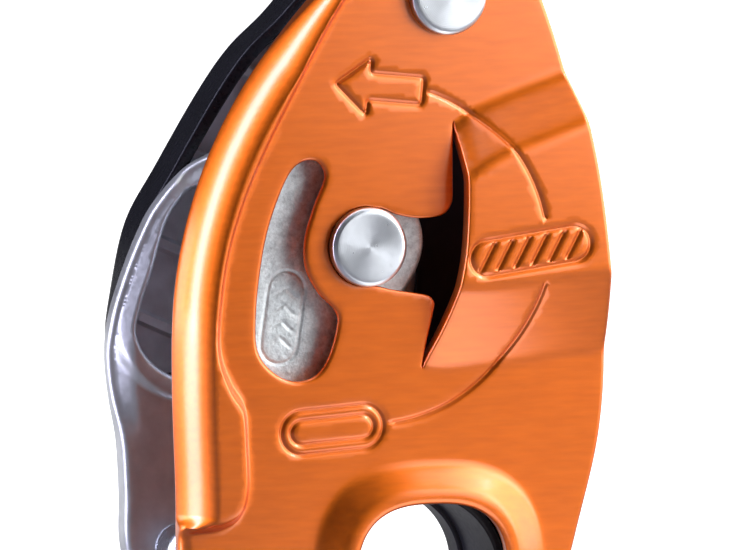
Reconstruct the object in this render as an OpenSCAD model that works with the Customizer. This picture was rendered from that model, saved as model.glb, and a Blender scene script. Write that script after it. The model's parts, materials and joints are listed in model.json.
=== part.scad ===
// Assisted-braking belay device: two side plates, a pinching cam on an axle and a folding release handle.
// Frame: origin on the attachment hole's axis at the fixed side plate's inner face, +Z towards the swing
// pivot, +X towards the closed side, -Y towards the moving side plate. Millimetres.

/* [Plates] */
// Free width between the two side plates, for an 8.9 to 11 mm rope
rope_gap = 13; // [12.5:0.25:14]
// Thickness of the moving side plate's sheet
moving_t = 2.2; // [2:0.1:2.4]
// Thickness of the fixed side plate
fixed_t = 3; // [2.5:0.25:3.5]
// Height of the moving plate's arch over its flat face
arch_rise = 4.1; // [4:0.1:5]
// Height of the moving plate's rope lip over its flat face
lip_rise = 3; // [2:0.25:3.5]
// Height of the rim pressed round the moving plate's attachment hole
rim_rise = 1.8; // [1:0.2:2.4]

/* [Attachment hole] */
// Radius of the attachment hole, inside its nylon collar
hole_r = 9.2; // [8.5:0.1:9.2]
// Half width of the larger hole in the moving plate
front_hole_a = 9.5; // [9.3:0.1:9.6]
// Half height of the larger hole in the moving plate
front_hole_b = 9.3; // [9.3:0.1:9.5]

/* [Axles] */
// Radius of the two round rivet heads on the front
head_r = 4.7; // [4.5:0.1:4.8]
// Thickness of those heads
head_t = 1.5; // [1.2:0.1:1.5]
// Radius of the cam axle's shank
shank_r = 3; // [2.8:0.1:3.2]
// Running clearance of everything that turns, on the radius
run = 0.05; // [0.02:0.01:0.08]

/* [Handle] */
// Depth of the handle grip behind the fixed plate
grip_depth = 9; // [7:0.5:10]

/* [Hidden] */
$fn = 64;

axle = [-8, 40];                     // the cam's axis
pivot = [2, 69.5];                   // the moving plate's swing axis
swing_r = norm(axle - pivot);

// Depths along Y
moving_in = -rope_gap;
moving_out = moving_in - moving_t;
head_gap = 0.15;                     // between the rivet heads and the moving plate
head_under = moving_out - head_gap;
head_top = head_under - head_t;
cam_front = moving_in + 1;
cam_rear = -1;
grip_front = fixed_t + 0.5;
grip_rear = grip_front + grip_depth;

// ---------- curves ----------

function catmull(a, b, c, d, t) =
    0.5 * (2 * b + (c - a) * t + (2 * a - 5 * b + 4 * c - d) * t * t + (3 * b - a - 3 * c + d) * t * t * t);

// A smooth closed curve through the points
function smooth_loop(p, steps = 4) =
    let (n = len(p))
    [for (i = [0:n - 1]) for (k = [0:steps - 1])
        catmull(p[(i + n - 1) % n], p[i], p[(i + 1) % n], p[(i + 2) % n], k / steps)];

// A smooth open curve through the points
function smooth_line(p, steps = 4) =
    let (n = len(p))
    concat([for (i = [0:n - 2]) for (k = [0:steps - 1])
        catmull(p[max(i - 1, 0)], p[i], p[i + 1], p[min(i + 2, n - 1)], k / steps)], [p[n - 1]]);

// A closed curve moved inwards by d; the curve runs clockwise
function inset(p, d) =
    let (n = len(p))
    [for (i = [0:n - 1])
        let (t = p[(i + 1) % n] - p[(i + n - 1) % n], u = t / norm(t)) p[i] + d * [u[1], -u[0]]];

function turned(v, angle) =
    [v[0] * cos(angle) - v[1] * sin(angle), v[0] * sin(angle) + v[1] * cos(angle)];

// Points round the arc of radius r about c, from angle a to angle b
function arc(c, r, a, b, steps = 16) =
    [for (k = [0:steps]) c + r * [cos(a + (b - a) * k / steps), sin(a + (b - a) * k / steps)]];

function superellipse(a, b, power, steps = 72) =
    [for (k = [0:steps - 1])
        let (t = 360 * k / steps, c = cos(t), s = sin(t))
        [a * sign(c) * pow(abs(c), 2 / power), b * sign(s) * pow(abs(s), 2 / power)]];

// ---------- outlines, clockwise in the X-Z plane ----------

moving_outline = smooth_loop([
    [-31, 2], [-31.2, 12], [-31.6, 24], [-31.4, 34], [-30, 42.4], [-27.1, 51], [-22.8, 59], [-17.2, 66.4],
    [-11.2, 72.8], [-5, 78.6], [3, 80.6], [10.4, 77.2], [14, 69.5], [17.2, 60.2], [20, 49], [21.6, 37.5],
    [22.3, 27], [21.6, 17], [19.2, 7], [16.2, -3], [11.4, -11.4], [3.5, -16.6], [-5.5, -17],
    [-15, -14], [-24, -9.6], [-29.6, -5]]);

fixed_outline = smooth_loop([
    [-32.6, 3.4], [-32.8, 10], [-33.2, 16.4], [-34.1, 21.4], [-34.6, 26.4], [-34.2, 30.6], [-32.9, 35],
    [-30.9, 40], [-28.6, 44.2], [-24.6, 48.4], [-20.2, 50.8], [-16.6, 54], [-14.8, 58.6], [-12.9, 62.4],
    [-10.3, 66], [-7.2, 69.6], [-4.2, 73], [-0.4, 76.6], [5, 78.4], [10.6, 75.6], [13.4, 68.6], [16.2, 59.6],
    [18.8, 48.6], [20.4, 37.4], [21, 27], [20.2, 17], [18, 7], [15, -3], [10.4, -11], [3, -15.6], [-5.5, -16],
    [-15, -13.2], [-24, -9.4], [-30.2, -4]]);

// Window beside the handle's arm, in the fixed plate
fixed_window = smooth_loop([
    [-31.4, 29.4], [-30.6, 33], [-29.4, 36.4], [-28.4, 39.6], [-27.2, 42.6], [-25.2, 45.2], [-22.4, 46.4],
    [-19.7, 45.2], [-19.1, 41], [-20.4, 35], [-21.6, 29], [-22.4, 24.9], [-25, 23.5], [-28.2, 24.6],
    [-30.5, 26.8]]);

// Kidney window that shows the cam, in the moving plate
cam_window = smooth_loop([
    [-21.6, 32.4], [-21, 38], [-19.9, 43], [-17.8, 48.2], [-16, 50.1], [-14, 50.1], [-13.1, 48.3],
    [-14.4, 45], [-15.6, 41], [-15.5, 37.6], [-13.9, 34.6], [-11.9, 32.6], [-11.5, 30.8], [-12.6, 27],
    [-14.2, 24.9], [-16.8, 24.3], [-19.4, 25.4], [-21.4, 28]]);

// Foot of the step up to the rope lip, from its top end to its closed lower end
lip_foot = smooth_line([
    [-9, 72], [-12.8, 66], [-16.4, 59.6], [-20.2, 52.6], [-23.2, 46], [-25.2, 39.6], [-26.2, 33], [-26.3, 28],
    [-25, 24.2], [-23.3, 21.4], [-22.9, 17], [-22.8, 11.6], [-23.8, 8.6], [-26, 7.2], [-29, 6.8]]);
lip_side = concat(lip_foot, [[-40, 6.8], [-40, 78], [-20, 84], [-7.5, 79]]);

// The arch: its left edge, and the feet and shoulders of its two slopes
arch_left = smooth_line([[2.8, 57], [2.8, 50], [2.9, 44], [2.7, 38.4], [1.6, 33.6], [0.2, 29], [-0.6, 22]]);
upper_foot = [2.8, 55];              // a point on the upper slope's foot
upper_angle = 18.5;
upper_run = 6.9;
lower_foot = [0, 24.9];              // a point on the lower slope's foot
lower_angle = 6;
lower_run = 9.2;
slit = 0.45;                         // sheared gap along the arch's left edge

rim_foot_r = 13.4;                   // the rim round the moving plate's attachment hole
rim_crest_r = 10.8;

// Slot that lets the moving plate slide off the cam axle's neck
neck_r = 3.5;
slot_r = 3.9;

// ---------- solids ----------

module slab(outline, y_front, y_back) {
    translate([0, y_back, 0]) rotate([90, 0, 0]) linear_extrude(y_back - y_front) polygon(outline);
}

module rod(at, r, y_front, y_back) {
    translate([at[0], y_back, at[1]]) rotate([90, 0, 0]) cylinder(r = r, h = y_back - y_front);
}

module tube(at, r, bore, y_front, y_back) {
    difference() {
        rod(at, r, y_front, y_back);
        rod(at, bore, y_front - 1, y_back + 1);
    }
}

// A round plug that narrows from r_back to r_front
module taper(at, r_back, r_front, y_front, y_back) {
    translate([at[0], y_back, at[1]]) rotate([90, 0, 0])
        cylinder(r1 = r_back, r2 = r_front, h = y_back - y_front);
}

// A coil spring of round wire about an axis, with two straight tangent legs
module torsion_spring(at, coil_r, wire_r, turns, y_front, leg, start, sides = 8, per_turn = 20) {
    pitch = 2.1 * wire_r;
    steps = turns * per_turn;
    function on_coil(k) = let (a = start + 360 * k / per_turn)
        [at[0] + coil_r * cos(a), y_front + wire_r + pitch * k / per_turn, at[1] + coil_r * sin(a)];
    function tangent(k) = let (a = start + 360 * k / per_turn) [-sin(a), 0, cos(a)];
    function radial(k) = let (a = start + 360 * k / per_turn) [cos(a), 0, sin(a)];
    frames = concat(
        [[on_coil(0) - leg * tangent(0), radial(0)]],
        [for (k = [0:steps]) [on_coil(k), radial(k)]],
        [[on_coil(steps) + leg * tangent(steps), radial(steps)]]);
    points = [for (f = frames) for (s = [0:sides - 1])
        f[0] + wire_r * (cos(360 * s / sides) * f[1] + sin(360 * s / sides) * [0, 1, 0])];
    rings = len(frames);
    polyhedron(points, concat(
        [[for (s = [0:sides - 1]) s]],
        [for (i = [0:rings - 2]) for (s = [0:sides - 1])
            [i * sides + s, (i + 1) * sides + s,
             (i + 1) * sides + (s + 1) % sides, i * sides + (s + 1) % sides]],
        [[for (s = [sides - 1:-1:0]) (rings - 1) * sides + s]]));
}

// ---------- fixed body ----------

drive_r = 7.8;                       // radius of the cam's drive stud about the axle
drive_angle = 250;                   // where that stud stands with the cam open
cam_travel = 34;                     // the cam's turn from open to locked, clockwise
handle_travel = 150;                 // the handle's turn from folded to pulled, anticlockwise
stud_r = 1.5;

// A slot along an arc about the cam axis
module arc_slot(r, half_width, a, b, y_front, y_back) {
    outline = concat(arc(axle, r + half_width, a, b),
                     arc(axle + r * [cos(b), sin(b)], half_width, b, b + 180, 8),
                     arc(axle, r - half_width, b, a),
                     arc(axle + r * [cos(a), sin(a)], half_width, a + 180, a + 360, 8));
    slab(outline, y_front, y_back);
}

guide_holes = [[17.6, 12], [17.4, 48.4], [4.6, 55.8]];
guide_pin_r = 1.2;
guide_head_r = 2.1;
friction_holes = [[-7.6, 66.4], [-4.6, 69.3]];
friction_pin_r = 1.1;
friction_head_r = 1.7;
keeper_at = [-26, 3.4];
keeper_pin_r = 1.6;
keeper_r = 3;
keeper_l = 4.6;
flush_tail = 0.35;                   // rivet tails that the handle passes over

module fixed_side_plate() color("silver") difference() {
    slab(fixed_outline, 0, fixed_t);
    slab(fixed_window, -1, fixed_t + 1);
    rod([0, 0], collar_r, -1, fixed_t + 1);
    rod(axle, shank_r, -1, fixed_t + 1);
    rod(pivot, pivot_shank, -1, fixed_t + 1);
    arc_slot(drive_r, stud_r + 0.3, drive_angle - cam_travel - 1, drive_angle + 1, -1, fixed_t + 1);
    for (h = guide_holes) rod(h, guide_pin_r, -1, fixed_t + 1);
    for (h = friction_holes) rod(h, friction_pin_r, -1, fixed_t + 1);
    rod(keeper_at, keeper_pin_r, -1, fixed_t + 1);
}

// Nylon lining of the closed side: a thin floor, a wall that stops short of the moving plate, and a collar
// through the attachment hole with a wall along its right side
collar_r = hole_r + 1;
guide_floor = 0.8;
guide_wall = 2;
guide_front = moving_in + 0.6;
guide_outer = smooth_line([
    [4.4, 60.6], [9.4, 60], [13.4, 58], [16, 52.8], [17.8, 46], [19.2, 37.4], [19.9, 27], [19.2, 17.6],
    [17.2, 8.6], [14.4, 0], [12.4, -6], [8.6, -10.4]]);
guide_inner = smooth_line([
    [5.4, -9.4], [3.6, 0], [3.6, 10], [2.6, 18], [3, 28], [4, 38], [3.4, 47], [1.6, 53], [1.6, 60]]);
collar_wall_r = collar_r - 0.4;        // stands clear of the hole, so a carabiner bears on the collar alone
collar_wall_from = -75;
collar_wall_to = 80;

// A band that follows an open clockwise line, on its inner side
function band(line, width) =
    let (n = len(line), normals = [for (i = [0:n - 1])
        let (t = line[min(i + 1, n - 1)] - line[max(i - 1, 0)]) [t[1], -t[0]] / norm(t)])
    concat(line, [for (i = [n - 1:-1:0]) line[i] + width * normals[i]]);

module collar_wall() intersection() {
    tube([0, 0], collar_r + 0.7, collar_wall_r, guide_front, -guide_floor / 2);
    slab(concat([[0, 0]], arc([0, 0], 20, collar_wall_from, collar_wall_to)), guide_front - 1, 1);
}

module rope_guide() color("#17171a") difference() {
    union() {
        slab(concat(guide_outer, guide_inner), -guide_floor, 0);
        slab(band(guide_outer, guide_wall), guide_front, 0);
        rod([0, 0], collar_r + 0.8, -guide_floor, 0);
        rod([0, 0], collar_r, -guide_floor, fixed_t);
        collar_wall();
    }
    rod([0, 0], hole_r, guide_front - 1, fixed_t + 1);
    for (h = guide_holes) rod(h, guide_pin_r, guide_front - 1, 1);
    for (h = guide_holes) rod(h, guide_head_r + 0.1, guide_front - 1, -guide_floor);
}

module rope_guide_rivets() color("gainsboro") for (h = guide_holes) {
    rod(h, guide_pin_r, -guide_floor, fixed_t + flush_tail);
    rod(h, guide_head_r, -guide_floor - 0.8, -guide_floor);
    rod(h, guide_head_r - 0.1, fixed_t, fixed_t + flush_tail);
}

// The rope is pinched between the cam's nose and this steel shoe
shoe_line = smooth_line([[-13.9, 63.2], [-11, 64], [-8, 64.3], [-4.8, 63.9], [-1.6, 62.6]]);
shoe_t = 2.4;
shoe_front = moving_in + 0.7;
foot_t = 1.6;
foot_outline = [
    [-11.4, 62.6], [-10.2, 65.6], [-8, 68.4], [-5.6, 71.2], [-3.4, 71.4], [-2.3, 69], [-2.6, 66],
    [-4.2, 62.8]];

module friction_plate() color("lightgray") difference() {
    union() {
        slab(concat(shoe_line, [for (i = [len(shoe_line) - 1:-1:0]) shoe_line[i] - [0.4, shoe_t]]),
             shoe_front, 0);
        slab(foot_outline, -foot_t, 0);
    }
    for (h = friction_holes) rod(h, friction_pin_r, -foot_t - 1, 1);
}

module friction_plate_rivets() color("gainsboro") for (h = friction_holes) {
    rod(h, friction_pin_r, -foot_t, fixed_t);
    taper(h, friction_head_r, friction_head_r - 0.4, -foot_t - 0.8, -foot_t);
    rod(h, friction_head_r, fixed_t, fixed_t + flush_tail);
}

module rope_keeper_stud() color("gainsboro") {
    rod(keeper_at, keeper_pin_r, -0.5, fixed_t + flush_tail);
    rod(keeper_at, keeper_r, -keeper_l, 0);
    taper(keeper_at, keeper_r, keeper_r - 1, -keeper_l - 1, -keeper_l);
    rod(keeper_at, 2.6, fixed_t, fixed_t + flush_tail);
}

pivot_neck = 3.4;
pivot_shank = 2.5;
washer_t = 0.5;
spacer_front = moving_in + washer_t + 0.1;

module pivot_head(at) {
    rod(at, head_r, head_under - head_t * 0.6, head_under);
    taper(at, head_r, head_r - 0.7, head_top, head_under - head_t * 0.6);
}

module swing_pivot_rivet() color("gainsboro") {
    pivot_head(pivot);
    rod(pivot, pivot_neck, head_under - 0.5, spacer_front);
    rod(pivot, pivot_shank, spacer_front - 0.5, fixed_t + 1.7);
    taper(pivot, pivot_shank, 3.6, fixed_t + 0.7, fixed_t + 1.7);
}

module swing_pivot_spacer() color("silver") tube(pivot, 4.3, pivot_shank, spacer_front, 0);

module swing_pivot_rear_washer() color("silver") tube(pivot, 4.4, pivot_shank, fixed_t, fixed_t + 0.7);

axle_tail = grip_rear + 1;           // where the axle ends behind the handle

module cam_axle() color("gainsboro") {
    pivot_head(axle);
    rod(axle, neck_r, head_under - 0.5, cam_front - 0.3);
    rod(axle, shank_r, cam_front - 0.5, axle_tail);
    taper(axle, 2.6, 3.9, axle_tail - 0.3, axle_tail + 1);
}

module axle_end_washer() color("silver") tube(axle, 5.4, shank_r, axle_tail - 0.8, axle_tail - 0.3);

cam_spring_wire = 0.45;
handle_spring_wire = 0.4;
cam_pocket_r = 6;
cam_pocket_y = -4.4;                 // bottom of the spring's pocket in the cam

module cam_return_spring() color("dimgray")
    torsion_spring(axle, 5, cam_spring_wire, 3, cam_pocket_y + 0.3, 1.6, 300);

// ---------- moving side plate ----------

// The part of the plate that the arch lifts, grown by extra on its left edge
module arch_column(extra, y_front, y_back) {
    left = [for (p = arch_left) p - [extra, 0]];
    slab(concat([for (i = [len(left) - 1:-1:0]) left[i]], [[40, 60], [40, 20]]), y_front, y_back);
}

// A pressed slope: flat lead-in, climb over the run, then a flat top. It climbs towards side * Z
module press_profile(at, angle, climb, side, top) {
    lead = 0.4;
    section = [
        [-lead, moving_in], [-lead, moving_out], [0, moving_out], [climb, moving_out - arch_rise],
        [climb + top, moving_out - arch_rise], [climb + top, moving_in - arch_rise],
        [climb, moving_in - arch_rise], [0, moving_in]];
    translate([at[0], 0, at[1]]) rotate([0, -angle, 0]) translate([-10, 0, 0])
        rotate([90, 0, 90]) linear_extrude(50) polygon([for (p = section) [p[1], side * p[0]]]);
}

// Covers the plan between the two feet of the arch
module arch_plan(y_front, y_back) {
    reach = 40;
    slab([upper_foot - turned([10, 0], upper_angle), upper_foot + turned([reach, 0], upper_angle),
          lower_foot + turned([reach, 0], lower_angle), lower_foot - turned([10, 0], lower_angle)],
         y_front, y_back);
}

module arch() intersection() {
    union() {
        press_profile(upper_foot, upper_angle, upper_run, -1, 9);
        press_profile(lower_foot, lower_angle, lower_run, 1, 9);
    }
    arch_column(0, -40, 0);
    slab(moving_outline, -40, 0);
}

// Plan of the slot from the cam axle to the arch, along the circle about the swing pivot
module neck_slot(y_front, y_back) {
    toward = atan2(axle[1] - pivot[1], axle[0] - pivot[0]);
    reach = 24;
    slab(concat(arc(pivot, swing_r + slot_r, toward, toward + reach),
                arc(pivot, swing_r - slot_r, toward + reach, toward)), y_front, y_back);
    rod(axle, slot_r, y_front, y_back);
}

module rope_lip() difference() {
    intersection() {
        slab(moving_outline, moving_out - lip_rise, moving_in);
        slab(lip_side, -40, 0);
    }
    intersection() {
        slab(inset(moving_outline, moving_t), moving_in - lip_rise, 0);
        translate([-1.8, 0, 1]) slab(lip_side, -40, 0);
    }
}

module moving_side_plate() color("darkorange") difference() {
    union() {
        difference() {
            slab(moving_outline, moving_out, moving_in);
            intersection() {
                arch_column(slit, -40, 0);
                arch_plan(-40, 0);
            }
            intersection() {
                slab(inset(moving_outline, moving_t), -40, 0);
                translate([-1.8, 0, 1]) slab(lip_side, -40, 0);
            }
        }
        arch();
        rope_lip();
        taper([0, 0], rim_foot_r, rim_crest_r, moving_out - rim_rise, moving_out);
    }
    slab(superellipse(front_hole_a, front_hole_b, 2.7), -40, 0);
    taper([0, 0], rim_foot_r - 1.5, rim_crest_r - 1.2, moving_in - rim_rise, moving_in);
    slab(cam_window, -40, 0);
    intersection() {
        neck_slot(-40, 0);
        translate([-30, -40, 0]) cube([33, 40, 80]);
    }
    rod(pivot, pivot_neck + run, -40, 0);
}

module swing_friction_washer() color("silver")
    tube(pivot, 6, pivot_neck + run, moving_in, moving_in + washer_t);

// ---------- cam ----------

cam_outline = smooth_loop([
    [0.5, 39.6], [-1.6, 45.6], [-7.6, 48.8], [-13.6, 50.4], [-18.6, 51.2], [-22.4, 49.4], [-24.2, 45],
    [-24.6, 39.4], [-23.8, 32.6], [-21.8, 26.6], [-18, 23.2], [-13.6, 23.2], [-11, 26.6], [-8.4, 30.4],
    [-2.6, 33.4]]);
groove_depth = 2.2;
groove_half = 3.4;
flank_mid = (cam_front + cam_rear) / 2;

module cam() color("#9a9ea2") difference() {
    union() {
        slab(cam_outline, cam_front, flank_mid - groove_half);
        slab(inset(cam_outline, groove_depth), flank_mid - groove_half, flank_mid + groove_half);
        slab(cam_outline, flank_mid + groove_half, cam_rear);
        rod(axle, 6.4, cam_front, cam_rear);
    }
    rod(axle, 4, -40, 10);
    rod(axle, cam_pocket_r, cam_pocket_y, 10);
    rod(axle + drive_r * [cos(drive_angle), sin(drive_angle)], stud_r, cam_pocket_y, 10);
}

module cam_bush_front() color("#b58a4a") tube(axle, 4, shank_r + run, cam_front + 0.1, cam_front + 3);

module cam_bush_rear() color("#b58a4a") tube(axle, 4, shank_r + run, cam_pocket_y - 3, cam_pocket_y - 0.1);

module cam_drive_stud() color("gainsboro")
    rod(axle + drive_r * [cos(drive_angle), sin(drive_angle)], stud_r, cam_pocket_y, fixed_t + 1.8);

// ---------- handle ----------

grip_outline = smooth_loop([
    [-31.9, 27.4], [-31.3, 33.4], [-29.4, 41.6], [-25.6, 48.2], [-20.4, 56.7], [-16.4, 62.1], [-12, 66.2],
    [-8.3, 70.4], [-5.4, 75.2], [-3.6, 79.8], [-1.7, 82.2], [0.7, 81.8], [0.9, 78.6], [-1.6, 74.4],
    [-4, 69.4], [-6, 64], [-6.2, 57.8], [-1.6, 52.4], [4.6, 47.8], [6.2, 40.4], [3.8, 32.6], [-2.4, 27.2], [-10, 25.4],
    [-18, 23.4], [-25, 21.2], [-30, 22.4]]);
grip_hollow = smooth_loop([
    [-30.2, 28], [-29.8, 33.2], [-28, 41], [-24.3, 47.4], [-19.2, 55.6], [-15.2, 61], [-11.4, 64.4],
    [-8.4, 65.2], [-7.9, 62], [-8.2, 57], [-3.4, 51], [2.6, 46.8], [4.4, 40.4], [2.4, 33.4], [-2.8, 28.9], [-10.4, 27.1],
    [-18.4, 25.1], [-25, 23.1], [-29, 24.2]]);
core_outline = smooth_loop([
    [-17.6, 38], [-17.6, 46], [-17, 53], [-14.4, 59.6], [-11.8, 61.4], [-10.6, 57], [-6, 49.6], [-4, 42],
    [-8, 34], [-14, 33]]);
core_t = 2;
core_hub_r = 11;
hub_r = 9.6;
bush_r = 4.2;
grip_rib = 1.4;
spring_well_r = 6.6;
spring_well = 3.4;                   // depth of the well in the grip's back
core_back = grip_front + core_t;
grip_floor = core_back + 0.9;        // the moulding's floor, under its hollow front
handle_pins = [[-13.4, 57.4], [-14.4, 51]];
handle_pin_r = 1.3;
handle_head_r = 2.2;
// Ribs across the grip's hollow: centre, slope and length
grip_ribs = [[-25.8, 29.2, 24, 8.6], [-23.8, 38.2, 24, 9.4], [-18.2, 47.4, 32, 10], [-12.6, 57.2, 38, 7.6]];

// Room for the cam's drive stud over the handle's whole turn and the cam's whole travel
module stud_sweep(y_front, y_back) {
    arc_slot(drive_r, stud_r + 0.4, drive_angle - cam_travel - handle_travel - 4, drive_angle + 4,
             y_front, y_back);
}

module handle_core() color("#8d9094") difference() {
    union() {
        slab(core_outline, grip_front, core_back);
        rod(axle, core_hub_r, grip_front, core_back);
    }
    rod(axle, bush_r, 0, 20);
    stud_sweep(0, 20);
    for (h = handle_pins) rod(h, handle_pin_r, 0, 20);
}

module handle_grip() color("#141417") difference() {
    union() {
        difference() {
            slab(grip_outline, grip_front, grip_rear);
            slab(grip_hollow, grip_front - 1, grip_floor);
        }
        for (r = grip_ribs) translate([r[0], core_back, r[1]]) rotate([0, r[2], 0])
            translate([-r[3] / 2, 0, -grip_rib / 2]) cube([r[3], grip_floor - core_back + 1, grip_rib]);
        rod(axle, hub_r, core_back, grip_floor + 1);
    }
    rod(axle, bush_r, 0, 20);
    rod(axle, spring_well_r, grip_rear - spring_well, 20);
    for (h = handle_pins) rod(h, handle_pin_r, 0, 20);
    for (h = handle_pins) rod(h, handle_head_r, grip_rear - 0.6, 20);
}

module handle_bush() color("#b58a4a") {
    tube(axle, bush_r, shank_r + run, grip_front, grip_rear - spring_well);
}

module handle_rivets() color("gainsboro") for (h = handle_pins) {
    rod(h, handle_pin_r, grip_front - 0.3, grip_rear + 0.1);
    rod(h, handle_head_r, grip_front - 0.3, grip_front);
    taper(h, 1.6, handle_head_r - 0.1, grip_rear - 0.6, grip_rear + 0.2);
}

module handle_return_spring() color("dimgray")
    torsion_spring(axle, 5.3, handle_spring_wire, 2.5, grip_rear - spring_well + 0.3, 1.2, 120);

module handle_retaining_ring() color("silver") tube(axle, 4.6, shank_r, grip_rear - 0.5, grip_rear - 0.1);

fixed_side_plate();
rope_guide();
rope_guide_rivets();
friction_plate();
friction_plate_rivets();
rope_keeper_stud();
swing_pivot_rivet();
swing_pivot_spacer();
swing_pivot_rear_washer();
cam_axle();
axle_end_washer();
cam_return_spring();
moving_side_plate();
swing_friction_washer();
cam();
cam_bush_front();
cam_bush_rear();
cam_drive_stud();
handle_core();
handle_grip();
handle_bush();
handle_rivets();
handle_return_spring();
handle_retaining_ring();
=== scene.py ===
"""Looks for the belay device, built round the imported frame. Lengths are in millimetres until Build.piece."""
import math

import bmesh
import bpy
import numpy as np
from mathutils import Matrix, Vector, geometry, kdtree
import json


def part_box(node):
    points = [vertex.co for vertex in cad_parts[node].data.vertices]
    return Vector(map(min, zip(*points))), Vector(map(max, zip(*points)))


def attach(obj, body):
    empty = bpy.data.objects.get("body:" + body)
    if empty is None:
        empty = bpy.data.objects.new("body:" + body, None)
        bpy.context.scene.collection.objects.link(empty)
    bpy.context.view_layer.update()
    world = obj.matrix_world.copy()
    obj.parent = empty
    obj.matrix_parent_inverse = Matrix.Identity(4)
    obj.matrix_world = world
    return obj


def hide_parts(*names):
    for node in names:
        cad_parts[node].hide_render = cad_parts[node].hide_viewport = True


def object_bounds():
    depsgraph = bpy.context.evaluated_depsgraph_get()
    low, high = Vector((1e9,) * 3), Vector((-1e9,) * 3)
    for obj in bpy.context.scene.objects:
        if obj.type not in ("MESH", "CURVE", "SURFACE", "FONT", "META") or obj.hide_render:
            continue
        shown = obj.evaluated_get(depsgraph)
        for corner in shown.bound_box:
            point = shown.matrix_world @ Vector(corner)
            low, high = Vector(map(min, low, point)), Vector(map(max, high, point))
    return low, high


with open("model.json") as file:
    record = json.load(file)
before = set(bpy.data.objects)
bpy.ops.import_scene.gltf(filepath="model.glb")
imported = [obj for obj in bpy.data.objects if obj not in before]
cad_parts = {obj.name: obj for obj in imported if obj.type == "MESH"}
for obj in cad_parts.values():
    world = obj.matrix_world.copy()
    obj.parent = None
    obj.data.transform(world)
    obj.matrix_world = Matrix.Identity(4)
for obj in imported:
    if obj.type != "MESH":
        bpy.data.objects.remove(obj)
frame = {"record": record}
CAD_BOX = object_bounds()
MM = 0.001


# ---------- places, from the frame ----------

def low(node):
    return np.array(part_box(node)[0]) / MM


def high(node):
    return np.array(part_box(node)[1]) / MM


def centre(node):
    middle = (low(node) + high(node)) / 2
    return np.array([middle[0], middle[2]])


AXLE = centre("cam_bush_front")
PIVOT = centre("swing_friction_washer")
HOLE_R = frame["record"]["mounts"][0]["dims"]["r_mm"]
MOVING_IN = low("swing_friction_washer")[1]
HEAD_TOP = low("cam_axle")[1]
HEAD_R = (high("swing_pivot_rivet")[0] - low("swing_pivot_rivet")[0]) / 2
AXLE_R, PIVOT_R, HUB_BORE_R, SWING_BORE_R = 3.0, 2.5, 3.05, 3.45
MOVING_T = 2.2
MOVING_OUT = MOVING_IN - MOVING_T
FIXED_T = high("fixed_side_plate")[1]
CAM_FRONT = low("cam")[1]
CAM_REAR = high("cam")[1]
GRIP_FRONT = low("handle_grip")[1]
GRIP_REAR = high("handle_grip")[1]


# ---------- curves in the X-Z plane ----------

def catmull(points, closed, per=10):
    """A smooth curve through the points, as a dense polyline."""
    p = np.asarray(points, float)
    n = len(p)
    spans = n if closed else n - 1
    out = []
    for i in range(spans):
        pick = [(i + k) % n if closed else min(max(i + k, 0), n - 1) for k in (-1, 0, 1, 2)]
        a, b, c, d = p[pick]
        t = (np.arange(per) / per)[:, None]
        out.append(0.5 * (2 * b + (c - a) * t + (2 * a - 5 * b + 4 * c - d) * t * t
                          + (3 * b - a - 3 * c + d) * t ** 3))
    if not closed:
        out.append(p[-1:])
    return np.vstack(out)


def even(line, step, closed=False):
    """The polyline with its points a step apart."""
    line = np.asarray(line, float)
    if closed:
        line = np.vstack([line, line[:1]])
    lengths = np.r_[0, np.cumsum(np.linalg.norm(np.diff(line, axis=0), axis=1))]
    count = max(2, int(round(lengths[-1] / step))) + (0 if closed else 1)
    at = np.linspace(0, lengths[-1], count, endpoint=not closed)
    return np.column_stack([np.interp(at, lengths, line[:, k]) for k in (0, 1)])


def smooth_loop(points, step=0.5):
    return even(catmull(points, True), step, True)


def smooth_line(points, step=0.5):
    return even(catmull(points, False), step)


def relaxed(loop, passes):
    """The loop with its corners rounded by a few passes of averaging."""
    for _ in range(passes):
        loop = (np.roll(loop, 1, 0) + 2 * loop + np.roll(loop, -1, 0)) / 4
    return loop


def joined(*lines, step=0.5, soft=2):
    """A closed loop of open lines end to end, with rounded corners."""
    return relaxed(np.vstack([even(line, step)[:-1] for line in lines]), soft)


def arc(middle, r, a, b, step=0.5):
    count = max(6, int(abs(math.radians(b - a)) * r / step))
    t = np.radians(np.linspace(a, b, count + 1))
    return np.asarray(middle) + r * np.column_stack([np.cos(t), np.sin(t)])


def circle(middle, r, step=0.5):
    return arc(middle, r, 0, 360, step)[:-1]


def superellipse(a, b, power, step=0.5):
    t = np.linspace(0, 2 * math.pi, 400, endpoint=False)
    c, s = np.cos(t), np.sin(t)
    loop = np.column_stack([a * np.sign(c) * abs(c) ** (2 / power), b * np.sign(s) * abs(s) ** (2 / power)])
    return even(loop, step, True)


def turned(points, degrees, middle=(0, 0)):
    a = math.radians(degrees)
    spin = np.array([[math.cos(a), math.sin(a)], [-math.sin(a), math.cos(a)]])
    return (np.asarray(points, float) - middle) @ spin + middle


def area(loop):
    x, z = loop[:, 0], loop[:, 1]
    return 0.5 * np.sum(x * np.roll(z, -1) - np.roll(x, -1) * z)


def facing(loop, hole=False):
    """The loop, run so that the material is on its left."""
    return loop if (area(loop) > 0) != hole else loop[::-1]


def inward(loop):
    """Unit vectors from each point of a loop into the material on its left."""
    t = np.roll(loop, -1, 0) - np.roll(loop, 1, 0)
    t /= np.linalg.norm(t, axis=1)[:, None] + 1e-12
    return np.column_stack([-t[:, 1], t[:, 0]])


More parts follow.
